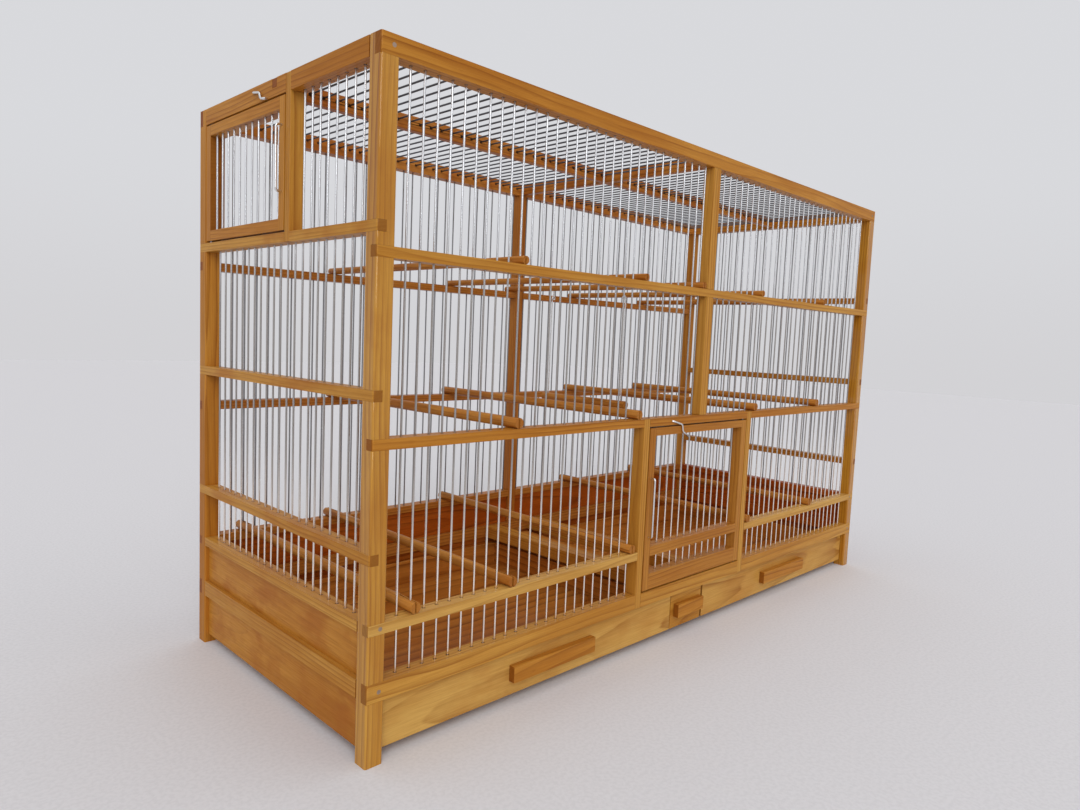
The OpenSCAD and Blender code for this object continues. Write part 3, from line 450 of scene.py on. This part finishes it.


# The upright wires: painted reflection of the pale floor low down, painted shade mid-height,
# painted window reflection at the top
wall_steel = steel("wall_wire_steel", (1.0, 0.93, 0.86), 0.26,
    painted_reflection_bands=(((0.42, 0.395, 0.375), 0.15, 0.28), ((0.70, 0.71, 0.73), 0.40, 0.50)))
# Roof wires: the same steel made near black, painted shade of wires seen from below against the
# light
roof_steel = steel("roof_wire_steel", (0.12, 0.12, 0.13), 0.42, (400, 30, 400))
# Back and right wires: the same steel made dim, painted shade
far_steel = steel("far_wire_steel", (0.30, 0.30, 0.31), 0.30)
bright_steel = steel("bent_wire_steel", (0.80, 0.80, 0.80), 0.22)
nail_steel = steel("nail_steel", (0.42, 0.31, 0.24), 0.48)

for node_name in ("front_wires_left", "front_wires_right", "front_wires_over_door",
        "left_wires_tall", "left_wires_short", "front_door_wires", "end_door_wires",
        "hinge_pins"):
    dress(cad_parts[node_name], wall_steel)
for node_name in ("back_wires", "right_wires"):
    dress(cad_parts[node_name], far_steel)
dress(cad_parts["roof_wires"], roof_steel)

# ---- Bent wire: latches, pulls, the swing's wires and its eyes ----

WIRE_SIDES = 16
BEND_STEPS = 7
# Share of a path's shorter leg that a bend may take
BEND_ROOM = 0.48


def rounded_path(points, bend):
    """points as a path whose corners are arcs of radius bend, or less where they are close."""
    path = [Vector(points[0])]
    for before, corner, after in zip(points, points[1:], points[2:]):
        into = Vector(before) - Vector(corner)
        out = Vector(after) - Vector(corner)
        room = BEND_ROOM * min(into.length, out.length)
        into.normalize()
        out.normalize()
        half = into.angle(out) / 2
        back = min(bend / math.tan(half), room)
        radius = back * math.tan(half)
        centre = Vector(corner) + (into + out).normalized() * (radius / math.sin(half))
        start = (Vector(corner) + into * back - centre).normalized()
        end = (Vector(corner) + out * back - centre).normalized()
        for step in range(BEND_STEPS + 1):
            path.append(centre + start.slerp(end, step / BEND_STEPS) * radius)
    path.append(Vector(points[-1]))
    return path


def swept(name, paths, diameter, body, slot, material, *nodes):
    """Round wire along each path, with flat ends, standing for those nodes."""
    shape = bmesh.new()
    for path in paths:
        rings = []
        first_way = (path[1] - path[0]).normalized()
        side = first_way.orthogonal().normalized()
        count = len(path)
        for index, point in enumerate(path):
            way = (path[min(index + 1, count - 1)] - path[max(index - 1, 0)]).normalized()
            side = (side - way * side.dot(way)).normalized()
            up = way.cross(side)
            rings.append([shape.verts.new(point + diameter / 2
                * (side * math.cos(turn) + up * math.sin(turn)))
                for turn in (2 * math.pi * k / WIRE_SIDES for k in range(WIRE_SIDES))])
        for ring, following in zip(rings, rings[1:]):
            for k in range(WIRE_SIDES):
                m = (k + 1) % WIRE_SIDES
                shape.faces.new((ring[k], ring[m], following[m], following[k])).smooth = True
        shape.faces.new(rings[0][::-1])
        shape.faces.new(rings[-1])
    bmesh.ops.recalc_face_normals(shape, faces=shape.faces)
    mesh = bpy.data.meshes.new(name)
    shape.to_mesh(mesh)
    shape.free()
    piece = bpy.data.objects.new(name, mesh)
    bpy.context.scene.collection.objects.link(piece)
    mesh.materials.append(material)
    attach(piece, body)
    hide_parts(*nodes)
    return piece


LATCH_LEG = 11 * MM
LATCH_BEND = 5 * MM
# Corners of the latches in millimetres from the pivot: along the rail, and up
FRONT_LATCH_BENDS = ((19, -5), (21, -14), (34, -21))
END_LATCH_BENDS = ((17, -3), (20, -9.5), (32, -11.5))

latch_low, latch_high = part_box("front_latch")
pivot = Vector((latch_low.x, latch_low.y, latch_high.z)) + Vector((1, 1, -1)) * BEND_WIRE / 2
points = [pivot + Vector((0, LATCH_LEG, 0)), pivot]
points += [pivot + Vector((x, 0, z)) * MM for x, z in FRONT_LATCH_BENDS]
swept("front_latch_wire", [rounded_path(points, LATCH_BEND)], BEND_WIRE, "front_latch",
    "bright_steel", bright_steel, "front_latch")

latch_low, latch_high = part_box("end_latch")
pivot = Vector((latch_low.x, latch_high.y, latch_high.z)) + Vector((1, -1, -1)) * BEND_WIRE / 2
points = [pivot + Vector((LATCH_LEG, 0, 0)), pivot]
points += [pivot + Vector((0, -along, z)) * MM for along, z in END_LATCH_BENDS]
swept("end_latch_wire", [rounded_path(points, LATCH_BEND)], BEND_WIRE, "end_latch",
    "bright_steel", bright_steel, "end_latch")

for node_name in ("front_door_pull", "end_door_pull", "swing_wires", "swing_eyes"):
    dress(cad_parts[node_name], bright_steel)
dress(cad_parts["nails"], nail_steel)
soften_edges(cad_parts["nails"], NAIL_DOME, ROUND_SEGMENTS)

# ---- Floor, light and camera ----

FLOOR_SIZE = 14.0
FLOOR_COLOUR = (0.76, 0.75, 0.77)
SKY_LIGHT = (0.42, 0.42, 0.43)
HORIZON_COLOUR = (0.65, 0.645, 0.665)
BACKDROP_COLOUR = (0.69, 0.695, 0.72)
SPECKLE_SCALE = (260, 260, 260)
SPECKLE_SHADE = 0.94
SPECKLE_BUMP = 0.4 * MM
# Each lamp: direction it shines from, width in degrees, power
WINDOW_LAMP = ((-0.62, -0.80, 0.55), 40, 1.25)
CEILING_LAMP = ((0.15, -0.1, 1.0), 90, 0.85)


def shown_straight(tree):
    """1 for the rays by which the camera, metal or glass sees a surface, else 0."""
    path = add(tree, "ShaderNodeLightPath")
    seen = calc(tree, "MAXIMUM", path.outputs["Is Camera Ray"], path.outputs["Is Glossy Ray"])
    return calc(tree, "MAXIMUM", seen, path.outputs["Is Transmission Ray"])


def make_floor():
    shape = bmesh.new()
    bmesh.ops.create_grid(shape, x_segments=8, y_segments=8, size=FLOOR_SIZE / 2)
    mesh = bpy.data.meshes.new("floor")
    shape.to_mesh(mesh)
    shape.free()
    floor = bpy.data.objects.new("floor", mesh)
    bpy.context.scene.collection.objects.link(floor)
    material, tree, shader = new_material("floor_paint")
    place = add(tree, "ShaderNodeTexCoord").outputs["Object"]
    speckle = noise(tree, scaled(tree, place, SPECKLE_SCALE), 2.0)
    darker = [SPECKLE_SHADE * channel for channel in FLOOR_COLOUR]
    colour = mixed(tree, spread(tree, speckle, 0.35, 0.7), FLOOR_COLOUR, darker)
    bump = add(tree, "ShaderNodeBump", {"Height": speckle, "Strength": 0.15,
        "Distance": SPECKLE_BUMP})
    tree.links.new(colour, shader.inputs["Base Color"])
    tree.links.new(bump.outputs[0], shader.inputs["Normal"])
    shader.inputs["Roughness"].default_value = 0.75
    shader.inputs["Specular IOR Level"].default_value = 0.2
    mesh.materials.append(material)


def make_world():
    world = bpy.data.worlds.new("soft_world")
    world.use_nodes = True
    tree = world.node_tree
    background = tree.nodes["Background"]
    rise = add(tree, "ShaderNodeSeparateXYZ",
        {0: add(tree, "ShaderNodeTexCoord").outputs["Generated"]}).outputs["Z"]
    backdrop = mixed(tree, spread(tree, rise, -0.05, 0.22), HORIZON_COLOUR, BACKDROP_COLOUR)
    colour = mixed(tree, shown_straight(tree), SKY_LIGHT, backdrop)
    tree.links.new(colour, background.inputs["Color"])
    background.inputs["Strength"].default_value = 1.0
    bpy.context.scene.world = world


def soft_sun(name, source, spread_deg, power):
    """Light from the direction of source, as soft as a wide window."""
    data = bpy.data.lights.new(name, "SUN")
    data.angle = math.radians(spread_deg)
    data.energy = power
    lamp = bpy.data.objects.new(name, data)
    lamp.rotation_euler = (-Vector(source)).to_track_quat("-Z", "Y").to_euler()
    bpy.context.scene.collection.objects.link(lamp)


# The camera stands where the photograph was taken from, and the angles are in degrees
CAMERA_PLACE = (-0.84743, -0.73147, 0.38473)
CAMERA_TURN = -45.06
CAMERA_DOWN = 5.15
CAMERA_ROLL = -2.46
PHOTO_WIDTH_PX = 1080
FOCAL_PX = 756.3
SENSOR_MM = 36.0
CLIP_START = 10 * MM


def make_camera():
    turn, down, roll = (math.radians(a) for a in (CAMERA_TURN, CAMERA_DOWN, CAMERA_ROLL))
    forward = Vector((-math.sin(turn) * math.cos(down), math.cos(turn) * math.cos(down),
        -math.sin(down)))
    level = forward.cross(Vector((0, 0, 1))).normalized()
    below = forward.cross(level)
    right = math.cos(roll) * level + math.sin(roll) * below
    up = math.sin(roll) * level - math.cos(roll) * below
    data = bpy.data.cameras.new("camera")
    data.sensor_width = SENSOR_MM
    data.lens = FOCAL_PX * SENSOR_MM / PHOTO_WIDTH_PX
    data.clip_start = CLIP_START
    camera = bpy.data.objects.new("camera", data)
    camera.matrix_world = Matrix.Translation(CAMERA_PLACE) @ Matrix(
        (right, up, -forward)).transposed().to_4x4()
    bpy.context.scene.collection.objects.link(camera)
    bpy.context.scene.camera = camera


make_floor()
make_world()
soft_sun("window", *WINDOW_LAMP)
soft_sun("ceiling", *CEILING_LAMP)
make_camera()
bpy.context.scene.view_settings.view_transform = "Standard"
